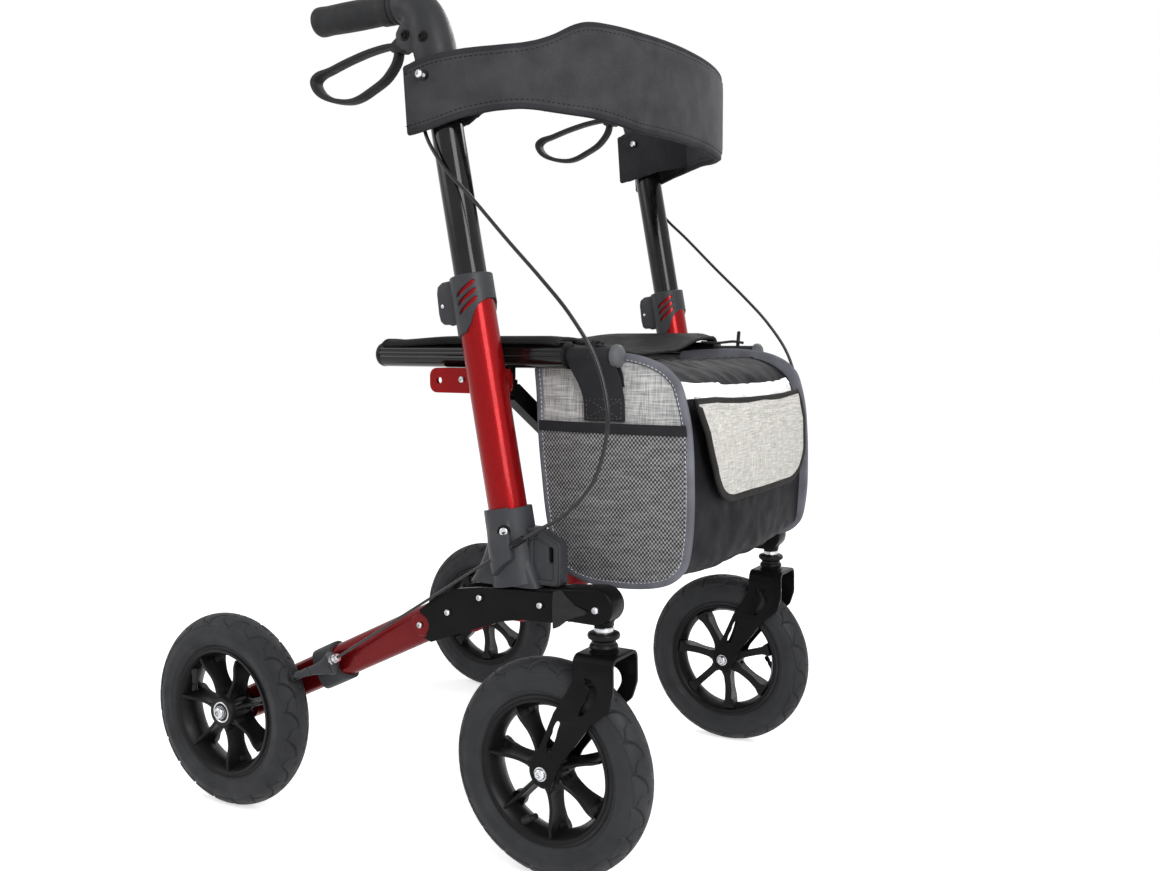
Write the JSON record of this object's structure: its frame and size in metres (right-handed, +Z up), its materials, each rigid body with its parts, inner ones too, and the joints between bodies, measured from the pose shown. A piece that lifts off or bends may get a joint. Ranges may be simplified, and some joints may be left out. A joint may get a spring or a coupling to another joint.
{
  "type": "all terrain rollator",
  "caption": "Folding walker with large air-filled wheels, swivel casters, height adjustable handles, loop brakes, sling seat, bag and a padded backrest band.",
  "frame": {"origin": "on the floor under the middle of the outline", "axes": "+X to the front, +Y to the user's left, +Z up"},
  "size_m": [0.7509, 0.6388, 1.0249],
  "materials": {
    "red_paint": "glossy metallic red paint on aluminium tube",
    "black_metal": "glossy black coat on aluminium",
    "grey_plastic": "fine grained moulded plastic",
    "black_plastic": "satin moulded plastic",
    "grip_rubber": "soft matte rubber",
    "tyre": "matte rubber",
    "steel": "zinc plated",
    "cable_sleeve": "smooth plastic sleeve",
    "seat_fabric": "black woven nylon",
    "black_fabric": "black woven nylon",
    "grey_fabric": "light grey mixed weave",
    "band_fabric": "charcoal padded fabric with bound edges"
  },
  "bodies": {
    "right_frame": {"upright_tube_r": "red_paint", "upright_socket_r": "grey_plastic", "hub_plates_r": "black_metal", "hub_nose_r": "grey_plastic", "front_arm_r": "black_metal", "rear_leg_r": "red_paint", "brake_collar_r": "grey_plastic", "frame_bolts_r": "steel", "seat_saddle_r": "red_paint", "fold_bracket_r": "red_paint", "height_clamp_r": "grey_plastic", "rear_axle_r": "steel", "brake_cable_r": "cable_sleeve"},
    "right_handle": {"handle_tube_r": "black_metal", "handle_head_r": "grey_plastic", "hand_grip_r": "grip_rubber", "handle_bolts_r": "steel", "backrest": "band_fabric"},
    "right_brake_lever": {"brake_lever_r": "black_plastic"},
    "right_height_lock": {"height_lock_r": "black_plastic"},
    "right_brake_shoe": {"brake_shoe_r": "black_plastic"},
    "right_caster": {"caster_fork_r": "black_metal", "caster_steel_r": "steel"},
    "right_front_wheel": {"front_rim_r": "black_plastic", "front_tyre_r": "tyre"},
    "right_rear_wheel": {"rear_rim_r": "black_plastic", "rear_tyre_r": "tyre"},
    "left_frame": {"upright_tube_l": "red_paint", "upright_socket_l": "grey_plastic", "hub_plates_l": "black_metal", "hub_nose_l": "grey_plastic", "front_arm_l": "black_metal", "rear_leg_l": "red_paint", "brake_collar_l": "grey_plastic", "frame_bolts_l": "steel", "seat_saddle_l": "red_paint", "fold_bracket_l": "red_paint", "height_clamp_l": "grey_plastic", "rear_axle_l": "steel", "brake_cable_l": "cable_sleeve"},
    "left_handle": {"handle_tube_l": "black_metal", "handle_head_l": "grey_plastic", "hand_grip_l": "grip_rubber", "handle_bolts_l": "steel"},
    "left_brake_lever": {"brake_lever_l": "black_plastic"},
    "left_height_lock": {"height_lock_l": "black_plastic"},
    "left_brake_shoe": {"brake_shoe_l": "black_plastic"},
    "left_caster": {"caster_fork_l": "black_metal", "caster_steel_l": "steel"},
    "left_front_wheel": {"front_rim_l": "black_plastic", "front_tyre_l": "tyre"},
    "left_rear_wheel": {"rear_rim_l": "black_plastic", "rear_tyre_l": "tyre"},
    "cross_a": {"cross_bar_a": "black_metal", "seat_rail_l": "black_metal"},
    "cross_b": {"cross_bar_b": "black_metal", "seat_rail_r": "black_metal"},
    "sling": {"seat_cloth": "seat_fabric", "bag": "black_fabric"},
    "flap": {"bag_flap": "grey_fabric"}
  },
  "joints": [
    {"name": "fold", "type": "hinge", "parent": "right_frame", "child": "cross_a", "pos_m": [0.1495, -0.213, 0.296], "axis": [1, 0, 0], "range_deg": [0, 37], "deforming": ["seat_cloth", "bag", "bag_flap", "backrest"]},
    {"name": "cross_pivot", "type": "hinge", "parent": "cross_a", "child": "cross_b", "pos_m": [0.1495, 0, 0.426], "axis": [1, 0, 0], "range_deg": [-74, 0]},
    {"name": "left_fold", "type": "hinge", "parent": "cross_b", "child": "left_frame", "pos_m": [0.1495, 0.213, 0.296], "axis": [1, 0, 0], "range_deg": [0, 37]},
    {"name": "sling_level", "type": "hinge", "parent": "cross_b", "child": "sling", "pos_m": [0.1495, -0.213, 0.595], "axis": [1, 0, 0], "range_deg": [0, 37]},
    {"name": "flap_lift", "type": "hinge", "parent": "sling", "child": "flap", "pos_m": [0.36092, 0, 0.54938], "axis": [0, -1, 0], "range_deg": [0, 110]},
    {"name": "right_handle_height", "type": "slide", "parent": "right_frame", "child": "right_handle", "axis": [-0.184, 0, 0.9829], "range_m": [-0.1, 0.04], "deforming": ["brake_cable_r"]},
    {"name": "right_brake_squeeze", "type": "hinge", "parent": "right_handle", "child": "right_brake_lever", "pos_m": [0.03605, -0.257, 0.96686], "axis": [0, 1, 0], "range_deg": [0, 11], "stiffness_Nm_per_rad": 4, "springref_deg": -8.59},
    {"name": "right_brake_push", "type": "slide", "parent": "right_frame", "child": "right_brake_shoe", "axis": [-0.8997, 0, -0.4364], "range_m": [0, 0.0032]},
    {"name": "right_height_release", "type": "hinge", "parent": "right_frame", "child": "right_height_lock", "pos_m": [0.08693, -0.257, 0.64828], "axis": [0, 1, 0], "range_deg": [0, 25], "stiffness_Nm_per_rad": 0.3, "springref_deg": -11.46},
    {"name": "right_caster_swivel", "type": "hinge", "parent": "right_frame", "child": "right_caster", "pos_m": [0.2945, -0.257, 0.3], "axis": [0, 0, 1], "continuous": true},
    {"name": "right_front_wheel_spin", "type": "hinge", "parent": "right_caster", "child": "right_front_wheel", "pos_m": [0.2275, -0.257, 0.127], "axis": [0, 1, 0], "continuous": true},
    {"name": "right_rear_wheel_spin", "type": "hinge", "parent": "right_frame", "child": "right_rear_wheel", "pos_m": [-0.2485, -0.293, 0.127], "axis": [0, 1, 0], "continuous": true},
    {"name": "left_handle_height", "type": "slide", "parent": "left_frame", "child": "left_handle", "axis": [-0.184, 0, 0.9829], "range_m": [-0.1, 0.04], "deforming": ["brake_cable_l"]},
    {"name": "left_brake_squeeze", "type": "hinge", "parent": "left_handle", "child": "left_brake_lever", "pos_m": [0.03605, 0.257, 0.96686], "axis": [0, 1, 0], "range_deg": [0, 11], "stiffness_Nm_per_rad": 4, "springref_deg": -8.59},
    {"name": "left_brake_push", "type": "slide", "parent": "left_frame", "child": "left_brake_shoe", "axis": [-0.8997, 0, -0.4364], "range_m": [0, 0.0032]},
    {"name": "left_height_release", "type": "hinge", "parent": "left_frame", "child": "left_height_lock", "pos_m": [0.08693, 0.257, 0.64828], "axis": [0, 1, 0], "range_deg": [0, 25], "stiffness_Nm_per_rad": 0.3, "springref_deg": -11.46},
    {"name": "left_caster_swivel", "type": "hinge", "parent": "left_frame", "child": "left_caster", "pos_m": [0.2945, 0.257, 0.3], "axis": [0, 0, 1], "continuous": true},
    {"name": "left_front_wheel_spin", "type": "hinge", "parent": "left_caster", "child": "left_front_wheel", "pos_m": [0.2275, 0.257, 0.127], "axis": [0, 1, 0], "continuous": true},
    {"name": "left_rear_wheel_spin", "type": "hinge", "parent": "left_frame", "child": "left_rear_wheel", "pos_m": [-0.2485, 0.293, 0.127], "axis": [0, 1, 0], "continuous": true}
  ],
  "couplings": [
    {"joint": "cross_pivot", "follows": "fold", "ratio": -2},
    {"joint": "left_fold", "follows": "fold", "ratio": 1},
    {"joint": "sling_level", "follows": "fold", "ratio": 1},
    {"joint": "left_handle_height", "follows": "right_handle_height", "ratio": 1},
    {"joint": "right_brake_push", "follows": "right_brake_squeeze", "m_per_rad": 0.016651},
    {"joint": "left_brake_push", "follows": "left_brake_squeeze", "m_per_rad": 0.016651}
  ]
}
